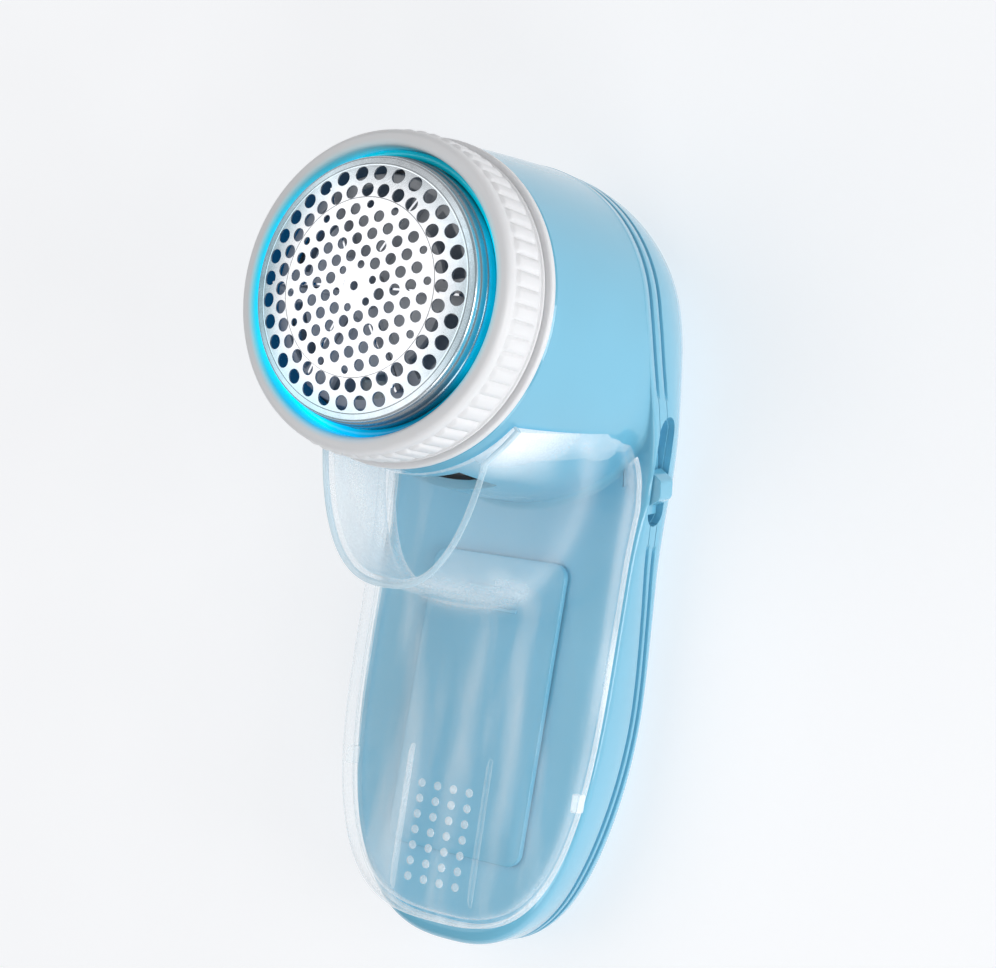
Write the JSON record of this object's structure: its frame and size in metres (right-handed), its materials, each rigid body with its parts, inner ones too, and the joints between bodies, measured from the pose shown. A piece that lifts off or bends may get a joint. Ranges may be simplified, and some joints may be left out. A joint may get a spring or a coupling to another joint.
{
  "type": "fabric shaver",
  "caption": "Hand-held fabric shaver: round perforated foil head over a spinning cutter, clear lint collector, slide switch and battery handle.",
  "frame": {"origin": "centre of the head axis on the flat of the back cover, which the shaver lies on", "axes": "+Z out of the foil along the head axis, +Y from the handle towards the top of the head, +X towards the switch side"},
  "size_m": [0.0656, 0.1536, 0.0777],
  "materials": {
    "body_blue": "glossy light blue with a fine moulded surface",
    "white_plastic": "smooth white plastic",
    "steel": "bright steel",
    "foil_steel": "polished silvery foil",
    "clear_plastic": "clear, faintly blue",
    "grey_plastic": "satin grey",
    "black_plastic": "satin black",
    "light_guide": "glowing cyan light guide",
    "circuit_board": "green board",
    "battery_wrap": "dark printed sleeve, plain"
  },
  "bodies": {
    "body": {"front_shell": "body_blue", "seam_band": "body_blue", "rear_shell": "body_blue", "case_screw_1": "steel", "case_screw_2": "steel", "case_screw_3": "steel", "head_collar": "white_plastic", "glow_led_1": "clear_plastic", "glow_led_2": "clear_plastic", "motor_can": "steel", "motor_end_cap": "white_plastic", "motor_mount": "grey_plastic", "lint_chute": "white_plastic", "battery_bay": "grey_plastic", "battery_cell_1": "battery_wrap", "battery_cell_2": "battery_wrap", "contact_spring_1": "steel", "contact_spring_2": "steel", "contact_plate": "steel", "switch_tray": "body_blue", "switch_body": "black_plastic", "circuit_board": "circuit_board"},
    "spindle": {"motor_shaft": "steel", "drive_dog": "grey_plastic", "pressure_spring": "steel"},
    "cutter": {"cutter_carrier": "white_plastic", "hub_cap": "grey_plastic", "cutter_blade_1": "steel", "cutter_blade_2": "steel", "cutter_blade_3": "steel", "cutter_blade_4": "steel", "cutter_blade_5": "steel", "cutter_blade_6": "steel"},
    "foil_head": {"foil_cap": "foil_steel"},
    "lock_ring_body": {"lock_ring": "white_plastic", "light_ring": "light_guide"},
    "collector_body": {"collector": "clear_plastic"},
    "door": {"battery_door": "body_blue"},
    "power_slider": {"switch_slider": "body_blue"}
  },
  "joints": [
    {"name": "spindle_spin", "type": "hinge", "parent": "body", "child": "spindle", "pos_m": [0, 0, 0.06], "axis": [0, 0, 1], "continuous": true},
    {"name": "cutter_float", "type": "slide", "parent": "spindle", "child": "cutter", "axis": [0, 0, 1], "range_m": [-0.0012, 0], "stiffness_N_per_m": 300, "springref_m": 0.001, "deforming": ["pressure_spring"]},
    {"name": "head_lift", "type": "slide", "parent": "body", "child": "foil_head", "axis": [0, 0, 1], "range_m": [0, 0.03]},
    {"name": "ring_turn", "type": "hinge", "parent": "foil_head", "child": "lock_ring_body", "pos_m": [0, 0, 0.067], "axis": [0, 0, 1], "range_deg": [0, 30]},
    {"name": "power_switch", "type": "slide", "parent": "body", "child": "power_slider", "axis": [0, 0.9833, 0.1822], "range_m": [0, 0.005]},
    {"name": "collector_slide", "type": "slide", "parent": "body", "child": "collector_body", "axis": [0, -0.9988, 0.0499], "range_m": [0, 0.105]},
    {"name": "battery_door_slide", "type": "slide", "parent": "body", "child": "door", "axis": [0, -0.9988, 0.0499], "range_m": [0, 0.005]}
  ]
}
